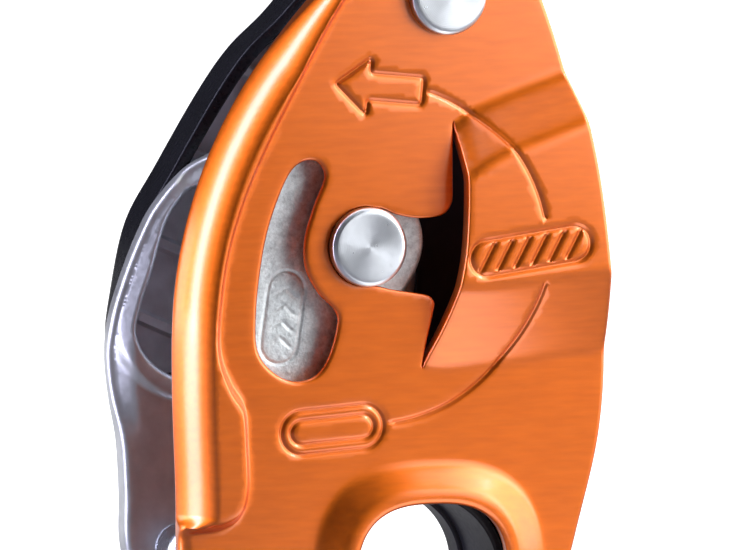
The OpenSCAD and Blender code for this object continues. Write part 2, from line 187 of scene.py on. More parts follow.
def inside(points, loops):
    """Whether each point is within an odd number of the loops."""
    odd = np.zeros(len(points), bool)
    for loop in loops:
        a, b = loop, np.roll(loop, -1, 0)
        for k in range(0, len(points), 4000):
            x, z = points[k:k + 4000, :1], points[k:k + 4000, 1:]
            spans = (a[:, 1] > z) != (b[:, 1] > z)
            rise = np.where(b[:, 1] == a[:, 1], 1e-9, b[:, 1] - a[:, 1])
            cross = a[:, 0] + (z - a[:, 1]) * (b[:, 0] - a[:, 0]) / rise
            odd[k:k + 4000] ^= (np.sum(spans & (x < cross), axis=1) % 2).astype(bool)
    return odd


def distance(points, line, closed=False):
    """Distance from each point to a polyline, positive on the line's left."""
    a = np.asarray(line, float)
    b = np.roll(a, -1, 0) if closed else a[1:]
    a = a if closed else a[:-1]
    d = b - a
    out = np.empty(len(points))
    for k in range(0, len(points), 2000):
        p = points[k:k + 2000, None, :]
        t = np.clip(np.sum((p - a) * d, axis=2) / (np.sum(d * d, axis=1) + 1e-12), 0, 1)
        away = p - (a + t[..., None] * d)
        gap = np.linalg.norm(away, axis=2)
        near = np.argmin(gap, axis=1)
        row = np.arange(len(near))
        side = d[near, 0] * away[row, near, 1] - d[near, 1] * away[row, near, 0]
        out[k:k + 2000] = np.where(side >= 0, 1, -1) * gap[row, near]
    return out


def ramp(d, run, bend):
    """Climbs from 0 to 1 while d goes from 0 to run, with a bend of that half width at each end."""
    def knee(x):
        return np.where(x < -bend, 0, np.where(x > bend, x, (x + bend) ** 2 / (4 * bend)))
    return (knee(d) - knee(d - run)) / run


def step_up(x, a, b):
    t = np.clip((x - a) / (b - a), 0, 1)
    return t * t * (3 - 2 * t)


# ---------- mesh building ----------

def quarter(rows=5):
    """How far in and how far short of the end each row of a quarter round lies, in parts of its radius."""
    angles = [math.pi / 2 * k / (rows - 1) for k in range(rows)]
    return [(1 - math.cos(a), 1 - math.sin(a)) for a in angles]


def placed(name, data):
    thing = bpy.data.objects.new(name, data)
    bpy.context.scene.collection.objects.link(thing)
    return thing


class Build:
    """Collects vertices and faces, in millimetres, and makes a Blender object of them."""

    def __init__(self):
        self.points = []
        self.count = 0
        self.faces = []
        self.second = []

    def row(self, loop, y):
        """Adds a loop of X-Z points at a depth, or at a depth for each point."""
        y = np.broadcast_to(y, (len(loop),))
        self.points.append(np.column_stack([loop[:, 0], y, loop[:, 1]]))
        start = self.count
        self.count += len(loop)
        return np.arange(start, self.count)

    def strip(self, a, b, closed=True):
        for i in range(len(a) if closed else len(a) - 1):
            j = (i + 1) % len(a)
            self.faces.append((a[i], a[j], b[j], b[i]))

    def tube(self, rows, closed=True):
        for a, b in zip(rows, rows[1:]):
            self.strip(a, b, closed)

    def at(self, row):
        return np.vstack(self.points)[row]

    def skin(self, borders, height, spacing=0.6, details=()):
        """Fills the region between border rows with triangles; height gives the depth of each new point."""
        loops = [self.at(row)[:, [0, 2]] for row in borders]
        edge = np.vstack(loops)
        lo, hi = edge.min(0), edge.max(0)
        xs = np.arange(lo[0], hi[0], spacing)
        zs = np.arange(lo[1], hi[1], spacing * 0.866)
        grid = np.array([(x + (spacing / 2 if k % 2 else 0), z) for k, z in enumerate(zs) for x in xs])
        extra = np.vstack(details) if len(details) else np.zeros((0, 2))
        if len(extra):
            _, first = np.unique(np.round(extra / 0.09), axis=0, return_index=True)
            extra = extra[np.sort(first)]
            grid = grid[clear_of(grid, extra, spacing * 0.7)]
        new = np.vstack([grid[clear_of(grid, edge, spacing * 0.6)], extra[clear_of(extra, edge, 0.12)]])
        new = new[inside(new, loops)]
        rings, start = [], 0
        for loop in loops:
            n = len(loop)
            rings += [(start + i, start + (i + 1) % n) for i in range(n)]
            start += n
        flat = [Vector(p) for p in np.vstack([edge, new])]
        verts, _, faces, origin, _, _ = geometry.delaunay_2d_cdt(flat, rings, [], 0, 1e-7, True)
        ids = np.concatenate([*borders, self.row(new, height(new))])
        flat_verts = np.array([tuple(v) for v in verts])
        crossings = [i for i, o in enumerate(origin) if not o]
        made = self.row(flat_verts[crossings], height(flat_verts[crossings])) if crossings else []
        lookup = np.array([ids[o[0]] if o else -1 for o in origin])
        lookup[crossings] = made
        corners = np.array([f for f in faces if len(f) == 3])
        middles = flat_verts[corners].mean(1)
        keep = inside(middles, loops)
        self.faces += [tuple(lookup[c]) for c in corners[keep]]

    def spin(self, at, profile, closed=False, edge=0.15, sides=96):
        """Turns a profile of (radius, depth) points about a Y axis."""
        unit = circle((0, 0), 1, 2 * math.pi / sides)
        rows = [self.row(np.asarray(at) + unit * max(r, 1e-5), y) for r, y in softened(profile, edge, closed)]
        self.tube(rows + rows[:1] if closed else rows)

    def slab(self, outline, holes, y_front, y_back, front, back, height=None, spacing=1.2, details=()):
        """A plate between two depths with rounded edges; holes is a list of (loop, edge radius)."""
        fronts, backs = [], []
        edges = [(outline, False, front, back)] + [(loop, True, r, r) for loop, r in holes]
        for loop, hole, f, r in edges:
            loop = facing(loop, hole)
            n = inward(loop)
            at = loop + n * f
            top = height(at) if height else y_front
            rows = rounded_rim(self, loop, top, f, f, 6)
            tail = [rows[-1]]
            for away, short in quarter():
                tail.append(self.row(loop + n * r * away, y_back - r * short))
            self.tube(tail)
            fronts.append(rows[0])
            backs.append(tail[-1])
        self.skin(fronts, height or (lambda p: full(p, y_front)), spacing, details)
        self.skin(backs, lambda p: full(p, y_back), 2.5)

    def wire(self, line, r, sides=14):
        """A round wire along a smooth 3-D line, with domed ends."""
        line = np.asarray(line, float)
        t = np.gradient(line, axis=0)
        t /= np.linalg.norm(t, axis=1)[:, None]
        across = np.cross(t, [0, 1, 0])
        across /= np.linalg.norm(across, axis=1)[:, None]
        up = np.cross(across, t)
        a = np.linspace(0, 2 * math.pi, sides, endpoint=False)[:, None]
        rows = []
        ends = [(-0.9, 0.44), (-0.5, 0.87)]
        stops = [(line[0], 0, -r, 1e-5)] + [(line[0], 0, e * r, w) for e, w in ends]
        stops += [(p, i, 0, 1) for i, p in enumerate(line)]
        stops += [(line[-1], -1, -e * r, w) for e, w in reversed(ends)] + [(line[-1], -1, r, 1e-5)]
        for p, i, along, wide in stops:
            ring = p + t[i] * along + r * wide * (np.cos(a) * across[i] + np.sin(a) * up[i])
            self.points.append(ring)
            rows.append(np.arange(self.count, self.count + sides))
            self.count += sides
        self.tube(rows)

    def piece(self, name, body, stands_for, slot, look=None, second=None):
        """Makes the object, in the look of its slot unless another is given."""
        mesh = bpy.data.meshes.new(name)
        mesh.from_pydata((np.vstack(self.points) * MM).tolist(), [], [tuple(map(int, f)) for f in self.faces])
        for start, end in self.second:
            for i in range(start, end):
                mesh.polygons[i].material_index = 1
        bm = bmesh.new()
        bm.from_mesh(mesh)
        bmesh.ops.remove_doubles(bm, verts=bm.verts, dist=1e-7)
        bmesh.ops.recalc_face_normals(bm, faces=bm.faces)
        bm.to_mesh(mesh)
        bm.free()
        mesh.polygons.foreach_set("use_smooth", [True] * len(mesh.polygons))
        mesh.set_sharp_from_angle(angle=math.radians(50))
        thing = placed(name, mesh)
        mesh.materials.append(look or LOOKS[slot])
        if second:
            mesh.materials.append(second)
        normals = thing.modifiers.new("normals", "WEIGHTED_NORMAL")
        normals.keep_sharp = True
        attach(thing, body)
        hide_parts(*stands_for)
        return thing


def clear_of(points, others, gap):
    """Which points are at least a gap from every other."""
    if not len(points) or not len(others):
        return np.ones(len(points), bool)
    tree = kdtree.KDTree(len(others))
    for i, p in enumerate(others):
        tree.insert((p[0], p[1], 0), i)
    tree.balance()
    return np.array([tree.find((p[0], p[1], 0))[2] >= gap for p in points])


def rounded_rim(build, loop, inner_y, inset, drop, rows=6, power=2.0):
    """Rows from a loop inset into the material out to the loop itself, round a quarter of a superellipse."""
    n = inward(loop)
    inset = np.broadcast_to(inset, len(loop))
    made = []
    for k in range(rows + 1):
        a = math.pi / 2 * k / rows
        at = loop + n * (inset * (1 - math.sin(a) ** (2 / power)))[:, None]
        made.append(build.row(at, inner_y + drop * (1 - max(math.cos(a), 0) ** (2 / power))))
    build.tube(made)
    return made


def softened(profile, edge, closed):
    """The profile with each corner cut to a short curve."""
    p = [np.array(q, float) for q in profile]
    out = []
    for i, b in enumerate(p):
        if not closed and i in (0, len(p) - 1):
            out.append(b)
            continue
        a, c = p[i - 1], p[(i + 1) % len(p)]
        to_a, to_c = np.linalg.norm(a - b), np.linalg.norm(c - b)
        reach = min(edge, 0.45 * to_a, 0.45 * to_c)
        start, end = b + (a - b) / to_a * reach, b + (c - b) / to_c * reach
        out += [(1 - t) ** 2 * start + 2 * t * (1 - t) * b + t * t * end for t in (0, 0.33, 0.67, 1)]
    return out


def full(loop, value):
    return np.full(len(loop), float(value))


# ---------- materials ----------

NOISE_SPAN = (0.3, 0.7)


def settings(made, values):
    for key, value in values.items():
        made.inputs[key].default_value = value


def principled(m):
    return m.node_tree.nodes["Principled BSDF"]


def material(name, colour, metallic, roughness, **more):
    m = bpy.data.materials.new(name)
    m.use_nodes = True
    base = {"Base Color": (*colour, 1), "Metallic": metallic, "Roughness": roughness}
    settings(principled(m), {**base, **more})
    return m


def node(m, kind, **values):
    made = m.node_tree.nodes.new("ShaderNode" + kind)
    for key, value in values.items():
        if key in made.inputs:
            made.inputs[key].default_value = value
        else:
            setattr(made, key, value)
    return made


def wire(m, a, out, b, into):
    m.node_tree.links.new(a.outputs[out], b.inputs[into])


def grain(m, scale, detail=3.0, rough=0.5):
    """Noise in the piece's own metres, stretched by one scale or by one for each axis."""
    place = node(m, "TexCoord")
    stretch = node(m, "Mapping", Scale=tuple(map(float, np.broadcast_to(scale, 3))))
    noise = node(m, "TexNoise", Scale=1.0, Detail=detail, Roughness=rough)
    wire(m, place, "Object", stretch, "Vector")
    wire(m, stretch, "Vector", noise, "Vector")
    return noise


def bumps(m, layers):
    """Stacks bump layers of (noise, strength, depth in metres) under the shader."""
    previous = None
    for noise, strength, depth in layers:
        bump = node(m, "Bump", Strength=strength, Distance=depth)
        wire(m, noise, "Fac", bump, "Height")
        if previous:
            wire(m, previous, "Normal", bump, "Normal")
        previous = bump
    wire(m, previous, "Normal", principled(m), "Normal")


def vary(m, noise, target, low_value, high_value):
    """Drives a shader input between two values by a noise."""
    lo, hi = NOISE_SPAN
    spread = node(m, "MapRange")
    settings(spread, {"From Min": lo, "From Max": hi, "To Min": low_value, "To Max": high_value})
    wire(m, noise, "Fac", spread, "Value")
    wire(m, spread, "Result", principled(m), target)


def tint(m, noise, dark, light):
    """Mixes two colours by a noise."""
    ramp_node = node(m, "ValToRGB")
    for element, position, colour in zip(ramp_node.color_ramp.elements, NOISE_SPAN, (dark, light)):
        element.position, element.color = position, (*colour, 1)
    wire(m, noise, "Fac", ramp_node, "Fac")
    wire(m, ramp_node, "Color", principled(m), "Base Color")


def anodised_orange():
    coat = {"Coat Weight": 1.0, "Coat Roughness": 0.2, "Coat IOR": 1.65}
    m = material("anodised_orange", (0.82, 0.163, 0.005), 1.0, 0.44, **coat)
    brush = grain(m, (140, 3600, 3600), 2.0)
    tint(m, grain(m, (220, 1500, 1500), 4.0), (0.78, 0.150, 0.004), (0.87, 0.176, 0.006))
    vary(m, brush, "Roughness", 0.40, 0.48)
    bumps(m, [(brush, 0.14, 0.00004), (grain(m, (1900, 2600, 2600), 3.0), 0.10, 0.00003)])
    return m


def shaded(colour, factor):
    return tuple(c * factor for c in colour)


def bare_metal(name, colour, roughness, scale=900, strength=0.1, depth=0.00004, metallic=1.0):
    m = material(name, colour, metallic, roughness)
    speck = grain(m, scale, 4.0)
    tint(m, grain(m, np.multiply(scale, 0.35), 4.0), shaded(colour, 0.9), shaded(colour, 1.06))
    vary(m, speck, "Roughness", roughness * 0.85, roughness * 1.15)
    bumps(m, [(speck, strength, depth)])
    return m


def spun_metal(name, colour, roughness, at):
    """Metal faced on a lathe: fine rings about a Y axis."""
    m = bare_metal(name, colour, roughness)
    shader = principled(m)
    place = node(m, "TexCoord")
    shift = node(m, "Mapping", Location=(-at[0] * MM, 0, -at[1] * MM))
    rings = node(m, "TexWave", wave_type="RINGS", rings_direction="Y", Scale=1500.0, Distortion=3.0,
                 Detail=3.0)
    wire(m, place, "Object", shift, "Vector")
    wire(m, shift, "Vector", rings, "Vector")
    around = node(m, "Tangent", direction_type="RADIAL", axis="Y")
    shader.inputs["Anisotropic"].default_value = 0.7
    wire(m, around, "Tangent", shader, "Tangent")
    bump = node(m, "Bump", Strength=0.15, Distance=0.00002)
    wire(m, rings, "Fac", bump, "Height")
    wire(m, shader.inputs["Normal"].links[0].from_node, "Normal", bump, "Normal")
    wire(m, bump, "Normal", shader, "Normal")
    return m


def cast_metal():
    m = bare_metal("cast_cam", (0.74, 0.80, 0.82), 0.5, 900, 0.45, 0.00009)
    tint(m, grain(m, 1300, 5.0, 0.7), (0.52, 0.56, 0.58), (0.92, 0.98, 1.0))
    bumps(m, [(grain(m, 900, 6.0, 0.7), 0.6, 0.00014),
              (grain(m, 2600, 3.0), 0.5, 0.00008)])
    return m


def plastic(name, colour, roughness, specular=0.5):
    m = material(name, colour, 0.0, roughness, **{"Specular IOR Level": specular})
    texture = grain(m, 1500, 3.0)
    tint(m, grain(m, 300, 4.0), shaded(colour, 0.85), shaded(colour, 1.15))
    vary(m, texture, "Roughness", roughness * 0.9, roughness * 1.1)
    bumps(m, [(texture, 0.12, 0.00005)])
    return m


LOOKS = {}
LOOKS["orange_anodised"] = anodised_orange()
LOOKS["bare_aluminium"] = bare_metal("satin_aluminium", (0.58, 0.595, 0.595), 0.38, 1400, 0.05, 0.00002, 0.75)
AXLE_STEEL = spun_metal("cam_axle_steel", (0.76, 0.80, 0.85), 0.32, AXLE)
PIVOT_STEEL = spun_metal("swing_pivot_steel", (0.76, 0.80, 0.85), 0.32, PIVOT)
LOOKS["rivet_steel"] = bare_metal("rivet_steel", (0.62, 0.65, 0.69), 0.26)
LOOKS["bare_steel"] = bare_metal("bare_steel", (0.50, 0.51, 0.53), 0.36, (400, 1500, 1500), 0.03, 0.00002)
LOOKS["spring_steel"] = bare_metal("spring_steel", (0.30, 0.30, 0.32), 0.28, 3000)
LOOKS["cast_cam"] = cast_metal()
LOOKS["bush_bronze"] = bare_metal("bush_bronze", (0.52, 0.33, 0.13), 0.34)
LOOKS["guide_nylon"] = plastic("guide_nylon", (0.022, 0.022, 0.027), 0.34, 0.12)
LOOKS["handle_nylon"] = plastic("handle_nylon", (0.008, 0.008, 0.011), 0.28, 0.3)
GRIP_WEB = plastic("handle_web_nylon", (0.56, 0.58, 0.62), 0.5)


# ---------- moving side plate ----------

MOVING_OUTLINE = [
    (-31, 2), (-31.2, 12), (-31.6, 24), (-31.4, 34), (-30, 42.4), (-27.1, 51), (-22.8, 59), (-17.2, 66.4),
    (-11.2, 72.8), (-5, 78.6), (3, 80.6), (10.4, 77.2), (14, 69.5), (17.2, 60.2), (20, 49), (21.6, 37.5),
    (22.3, 27), (21.6, 17), (19.2, 7), (16.2, -3), (11.4, -11.4), (3.5, -16.6), (-5.5, -17), (-15, -14),
    (-24, -9.6), (-29.6, -5)]
KIDNEY = [
    (-21.6, 32.4), (-21, 38), (-19.9, 43), (-17.8, 48.2), (-16, 50.1), (-14, 50.1), (-13.1, 48.3),
    (-14.4, 45), (-15.6, 41), (-15.5, 37.6), (-13.9, 34.6), (-11.9, 32.6), (-11.5, 30.8), (-12.6, 27),
    (-14.2, 24.9), (-16.8, 24.3), (-19.4, 25.4), (-21.4, 28)]
LIP_FOOT = [
    (-7.4, 80), (-8.2, 75), (-9, 72), (-12.8, 66), (-16.4, 59.6), (-20.2, 52.6), (-23.2, 46), (-25.2, 39.6),
    (-26.2, 33), (-26.3, 28), (-25, 24.2), (-23.3, 21.4), (-22.9, 17), (-22.8, 11.6), (-23.8, 8.6),
    (-26, 7.2), (-29, 6.8), (-36, 6.6)]
ARCH_LEFT = [(3.0, 56.4), (3.0, 50), (3.1, 44), (2.7, 38.4), (1.6, 33.6), (0.2, 29), (-0.8, 24.2)]
LIP_SIDE = LIP_FOOT[:-4] + [(-23.2, 8.6), (-23.2, 2), (-23.2, -6)]
LIP_RISE, ARCH_RISE, RING_RISE = 3.0, 4.1, 1.8
LIP_RUN, LIP_BEND, LIP_FACET = 1.0, 0.32, 0.7
ARCH_BEND = 0.8
ARCH_UPPER, UPPER_SLOPE, UPPER_RUN = (2.8, 55.2), 18.5, 6.9
ARCH_LOWER, LOWER_SLOPE, LOWER_RUN = (0, 24.9), 6, 9.2
FRONT_HOLE = (9.5, 9.3, 2.7)
RING_FOOT, RING_RUN = 14.1, 3.1

lip_foot = smooth_line(LIP_FOOT, 0.6)
lip_side = smooth_line(LIP_SIDE, 0.6)
arch_left = smooth_line(ARCH_LEFT, 0.4)


def beyond(points, at, degrees):
    """How far each point is to the left of a line through a place at an angle."""
    a = math.radians(degrees)
    return (points - at) @ np.array([-math.sin(a), math.cos(a)])


def arch_lift(p):
    from_edge = p[:, 0] - np.interp(-p[:, 1], -arch_left[:, 1], arch_left[:, 0])
    torn = 1.6 * np.exp(-np.clip(from_edge, 0, None) / 2.2)
    upper = ramp(-beyond(p, ARCH_UPPER, UPPER_SLOPE) - torn, UPPER_RUN - 1.0, ARCH_BEND)
    lower = ramp(beyond(p, ARCH_LOWER, LOWER_SLOPE) - 0.5 * torn, LOWER_RUN, ARCH_BEND)
    return ARCH_RISE * np.minimum(upper, lower) * (from_edge > 0)


def ring_lift(p):
    a, b, power = FRONT_HOLE
    r = (abs(p[:, 0] / a) ** power + abs(p[:, 1] / b) ** power) ** (1 / power) * (a + b) / 2
    return RING_RISE * ramp(RING_FOOT - r, RING_RUN, 0.7)


def lip_lift(p):
    return LIP_RISE * ramp(-distance(p, lip_foot), LIP_RUN, LIP_BEND)


def moving_surface(p):
    return MOVING_OUT - np.maximum.reduce([arch_lift(p), ring_lift(p), lip_lift(p)])


ARROW = [(-5.6, 0), (-1.4, 3.4), (-1.4, 1.6), (5.4, 1.6), (5.4, -1.6), (-1.4, -1.6), (-1.4, -3.4)]
ARROW_AT, ARROW_TILT = (-6.2, 58.7), -6
LINK_AT, LINK_TILT, LINK_HALF, LINK_RADII = (-12.2, 18.4), 4, 3.8, (2.6, 1.4)
MARK_AT, MARK_TILT, MARK_LONG, MARK_HIGH = np.array([11.3, 39.2]), 7.5, 15.2, 4.2
ROPE_ARC = ((-6.6, 39), 20.1)


def closed(loop):
    return np.vstack([loop, loop[:1]])


def capsule(half, r):
    outline = np.vstack([arc((half, 0), r, -90, 90, 0.3), arc((-half, 0), r, 90, 270, 0.3)])
    return closed(even(outline, 0.3, True))


def arrow_mark():
    """A plain block arrow where the brake side of the rope leaves."""
    edges = [np.array([a, b], float) for a, b in zip(ARROW, ARROW[1:] + ARROW[:1])]
    return turned(closed(joined(*edges, step=0.3, soft=2)), ARROW_TILT) + ARROW_AT


def link_mark():
    """A plain chain link where the rope's other end is tied in."""
    return [turned(capsule(LINK_HALF, r), LINK_TILT) + LINK_AT for r in LINK_RADII]


def rope_mark():
    """A capsule of rope: a rounded outline with the slanted strokes of its strands."""
    half = MARK_LONG / 2 - MARK_HIGH / 2
    lines = [capsule(half, MARK_HIGH / 2)]
    for x in np.linspace(-half, half, 6):
        stroke = catmull([(x - 1.1, -1.5), (x - 0.5, -0.7), (x + 0.5, 0.7), (x + 1.1, 1.5)], False)
        lines.append(even(stroke, 0.3))
    return [turned(line, MARK_TILT) + MARK_AT for line in lines]


middle, radius = ROPE_ARC
mark = rope_mark()
GROOVES = [
    (smooth_line(arc(middle, radius, 70, 12), 0.35), 0.38, 0.30),
    (smooth_line(arc(middle, radius, -11, -84), 0.35), 0.38, 0.30),
    (arrow_mark(), 0.36, 0.28),
    *[(line, 0.34, 0.26) for line in link_mark()],
    *[(line, 0.42, 0.3) for line in mark]]


def beside_line(line, gap):
    """The line moved to its left by a gap."""
    t = np.gradient(line, axis=0)
    t /= np.linalg.norm(t, axis=1)[:, None]
    return line + gap * np.column_stack([-t[:, 1], t[:, 0]])


def groove_rows():
    """Rows of points along each groove, so that the mesh can follow its walls."""
    across = (-1.25, -0.8, -0.4, 0, 0.4, 0.8, 1.25)
    return [beside_line(line, half * k) for line, half, _ in GROOVES for k in across]


def across_bend(run, bend):
    """Places across a ramp that the mesh needs: both bends and the straight between them."""
    near = [-bend, -bend / 2, 0, bend / 2, bend]
    return near + [run / 2] + [run + k for k in near]


def crease_rows():
    """Rows of points along the creases of the lip, the arch and the ring."""
    rows = [beside_line(lip_foot, -k) for k in across_bend(LIP_RUN, LIP_BEND)]
    slopes = [(ARCH_UPPER, UPPER_SLOPE, UPPER_RUN - 1.0, -1), (ARCH_LOWER, LOWER_SLOPE, LOWER_RUN, 1)]
    for at, degrees, run, side in slopes:
        foot = turned(np.column_stack([np.arange(0, 24, 0.45), np.zeros(54)]), degrees) + at
        rows += [beside_line(foot, side * k) for k in across_bend(run, ARCH_BEND)]
    a, b, power = FRONT_HOLE
    for k in across_bend(RING_RUN, 0.7):
        size = (RING_FOOT - k) * 2 / (a + b)
        rows.append(superellipse(a * size, b * size, power, 0.45))
    return rows


def groove_depth(p):
    cut = np.zeros(len(p))
    for line, half, depth in GROOVES:
        lo, hi = line.min(0) - 1.2, line.max(0) + 1.2
        near = np.all((p > lo) & (p < hi), axis=1)
        if near.any():
            d = abs(distance(p[near], line)) / half
            cut[near] = np.maximum(cut[near], depth * np.clip(1 - d * d, 0, 1) ** 1.5)
    return cut


def moving_front(p):
    return moving_surface(p) + groove_depth(p)


def notch_loop():
    """The notch that lets the cam axle's head in, run into the sheared slit beside the arch."""
    flap = [(3.0, 54.6), (3.0, 50), (3.0, 45.0)]
    notch_top = [(3.0, 45.0), (1.9, 43.5), (-1, 43.1), (-4, 43.6), (-6.4, 44.6)]
    back = arc(AXLE, 4.6, 70, 280, 0.5)
    notch_bottom = [(-7.2, 35.45), (-4.6, 34.8), (-1.6, 34.3), (0.1, 33.9), (0.8, 33.0)]
    lower_flap = [(0.8, 33.0), (0.35, 31), (-0.35, 28.2), (-0.95, 25.2)]
    right = [(-0.95, 25.2), (-0.3, 27), (0.75, 29.6), (1.9, 33.2), (3.05, 38.4), (3.45, 44), (3.4, 50),
             (3.0, 54.6)]
    smooth = [catmull(line, False) for line in (notch_top, notch_bottom, lower_flap, right)]
    return joined(flap, smooth[0], back, *smooth[1:], step=0.4, soft=1)


def moving_side_plate():
    b = Build()
    outline = facing(smooth_loop(MOVING_OUTLINE, 0.5))
    beside = -distance(outline, lip_side)
    above = np.where(outline[:, 0] < 0, step_up(outline[:, 1], 6.4, 8.4), 0)
    lipness = step_up(beside, 0.3, 2.6) * above
    left, low = -outline[:, 0], -outline[:, 1]
    low_left = step_up(left, 19, 27) * step_up(low, -9, -5) * step_up(-low, -9, -2)
    roll = np.clip(beside - 1.8, 0, 3.1) * above + 1.0 * low_left * (1 - above)
    inset = 0.6 + roll
    drop = 0.6 + roll * (0.6 + 0.75 * above)
    n = inward(outline)
    inner = outline + n * inset[:, None]
    top = moving_surface(inner)
    drop = np.minimum(drop, MOVING_IN - 0.5 - top)
    front = rounded_rim(b, outline, top, inset, drop, 14, 2 - LIP_FACET * above * step_up(beside, 0.3, 2.6))
    flange = 0.4 + (MOVING_T - 0.4) * lipness
    edge = 0.35
    wall = [front[-1], b.row(outline, MOVING_IN - edge),
            b.row(outline + n * edge * 0.3, MOVING_IN - edge * 0.3), b.row(outline + n * edge, MOVING_IN),
            b.row(outline + n * flange[:, None], MOVING_IN)]
    back_at = outline + n * (flange + 0.02)[:, None]
    wall.append(b.row(back_at, np.minimum(MOVING_IN, moving_surface(back_at) + MOVING_T)))
    b.tube(wall)
    fronts, backs = [front[0]], [wall[-1]]
    holes = [
        (facing(smooth_loop(KIDNEY, 0.45), True), 0.55, 0.45, 0.8),
        (facing(superellipse(*FRONT_HOLE), True), 0.7, 0.6, 0.2),
        (facing(notch_loop(), True), 0.3, 0.32, 0.1),
        (facing(circle(PIVOT, SWING_BORE_R, 0.4), True), 0.2, 0.2, 0.02)]
    for loop, inset_mm, drop_mm, flare in holes:
        n = inward(loop)
        at = loop + n * inset_mm
        outer_y = moving_surface(at)
        front = rounded_rim(b, loop, outer_y, inset_mm, drop_mm, 5)
        back_y = outer_y + MOVING_T
        wall = [front[-1], b.row(loop + n * flare * 0.4, back_y - 1.1), b.row(loop + n * flare, back_y - 0.1),
                b.row(loop + n * (flare + 0.1), back_y)]
        b.tube(wall)
        fronts.append(front[0])
        backs.append(wall[-1])
    b.skin(fronts, moving_front, 0.55, crease_rows() + groove_rows())
    b.skin(backs, lambda p: moving_surface(p) + MOVING_T, 0.8, crease_rows())
    return b.piece("side_plate_shell", "side_plate", ["moving_side_plate"], "orange_anodised")


moving_side_plate()


# ---------- fixed side plate and what is riveted to it ----------

FIXED_OUTLINE = [
    (-32.6, 3.4), (-32.8, 10), (-33.2, 16.4), (-34.1, 21.4), (-34.6, 26.4), (-34.2, 30.6), (-32.9, 35),
    (-30.9, 40), (-28.6, 44.2), (-24.6, 48.4), (-20.2, 50.8), (-16.6, 54), (-14.8, 58.6), (-12.9, 62.4),
    (-10.3, 66), (-7.2, 69.6), (-4.2, 73), (-0.4, 76.6), (5, 78.4), (10.6, 75.6), (13.4, 68.6),
    (16.2, 59.6), (18.8, 48.6), (20.4, 37.4), (21, 27), (20.2, 17), (18, 7), (15, -3), (10.4, -11),
    (3, -15.6), (-5.5, -16), (-15, -13.2), (-24, -9.4), (-30.2, -4)]
FIXED_WINDOW = [
    (-31.4, 29.4), (-30.6, 33), (-29.4, 36.4), (-28.4, 39.6), (-27.2, 42.6), (-25.2, 45.2), (-22.4, 46.4),
    (-19.7, 45.2), (-19.1, 41), (-20.4, 35), (-21.6, 29), (-22.4, 24.9), (-25, 23.5), (-28.2, 24.6),
    (-30.5, 26.8)]
COLLAR_R = HOLE_R + 1
DRIVE_R, DRIVE_ANGLE, CAM_TRAVEL, HANDLE_TRAVEL, STUD_R = 7.8, 250, 34, 150, 1.5
GUIDE_HOLES = [(17.6, 12), (17.4, 48.4), (4.6, 55.8)]
FRICTION_HOLES = [(-7.6, 66.4), (-4.6, 69.3)]
FRICTION_PIN_R, FRICTION_HEAD_R = 1.1, 1.7
KEEPER_AT, KEEPER_R, KEEPER_HEAD_R = (-26, 3.4), 1.6, 3
HANDLE_PINS, HANDLE_PIN_R, GUIDE_PIN_R = [(-13.4, 57.4), (-14.4, 51)], 1.3, 1.2
FLUSH_TAIL = 0.35
FIXED_BEVEL, RIM_RISE = 1.9, 0.7
fixed_loop = smooth_loop(FIXED_OUTLINE, 0.5)
window_loop = smooth_loop(FIXED_WINDOW, 0.4)


def arc_slot(r, half, a, b):
    """The loop of a slot along an arc about the cam axle."""
    def end(degrees):
        return AXLE + r * np.array([math.cos(math.radians(degrees)), math.sin(math.radians(degrees))])
    return np.vstack([arc(AXLE, r + half, a, b, 0.4)[:-1], arc(end(b), half, b, b + 180, 0.3)[:-1],
                      arc(AXLE, r - half, b, a, 0.4)[:-1], arc(end(a), half, a + 180, a + 360, 0.3)[:-1]])


def fixed_front(p):
    """Depth of the fixed plate's inner face, with the rim round its window and the slope at its left edge."""
    from_edge = abs(distance(p, fixed_loop, True))
    from_window = abs(distance(p, window_loop, True))
    beside = step_up(p[:, 1], 15, 24) * (1 - step_up(p[:, 0], -24, -18))
    rim = RIM_RISE * (1 - ramp(from_window - 2.0, 0.9, 0.25)) * (1 - step_up(p[:, 0], -26, -24.5))
    return FIXED_BEVEL * (1 - ramp(from_edge, 2.6, 0.5)) * beside - rim


def fixed_side_plate():
    b = Build()
    holes = [
        (window_loop, 0.6), (circle((0, 0), COLLAR_R), 0.25), (circle(AXLE, AXLE_R + 0.02, 0.3), 0.2),
        (circle(PIVOT, PIVOT_R + 0.02, 0.3), 0.2),
        (arc_slot(DRIVE_R, STUD_R + 0.3, DRIVE_ANGLE - CAM_TRAVEL - 1, DRIVE_ANGLE + 1), 0.2),
        (circle(KEEPER_AT, KEEPER_R + 0.02, 0.3), 0.15)]
    holes += [(circle(h, GUIDE_PIN_R + 0.02, 0.3), 0.12) for h in GUIDE_HOLES]
    holes += [(circle(h, FRICTION_PIN_R + 0.02, 0.3), 0.12) for h in FRICTION_HOLES]
    rows = [beside_line(fixed_loop, -k) for k in (1.2, 1.6, 2.0, 2.3, 2.6, 2.9, 3.2)]
    rows += [beside_line(window_loop, k) for k in (1.3, 1.75, 2.0, 2.25, 2.45, 2.65, 2.9, 3.15)]
    b.slab(fixed_loop, holes, 0, FIXED_T, 0.75, 0.5, fixed_front, 0.9, rows)
    b.piece("fixed_plate_shell", "frame", ["fixed_side_plate"], "bare_aluminium")


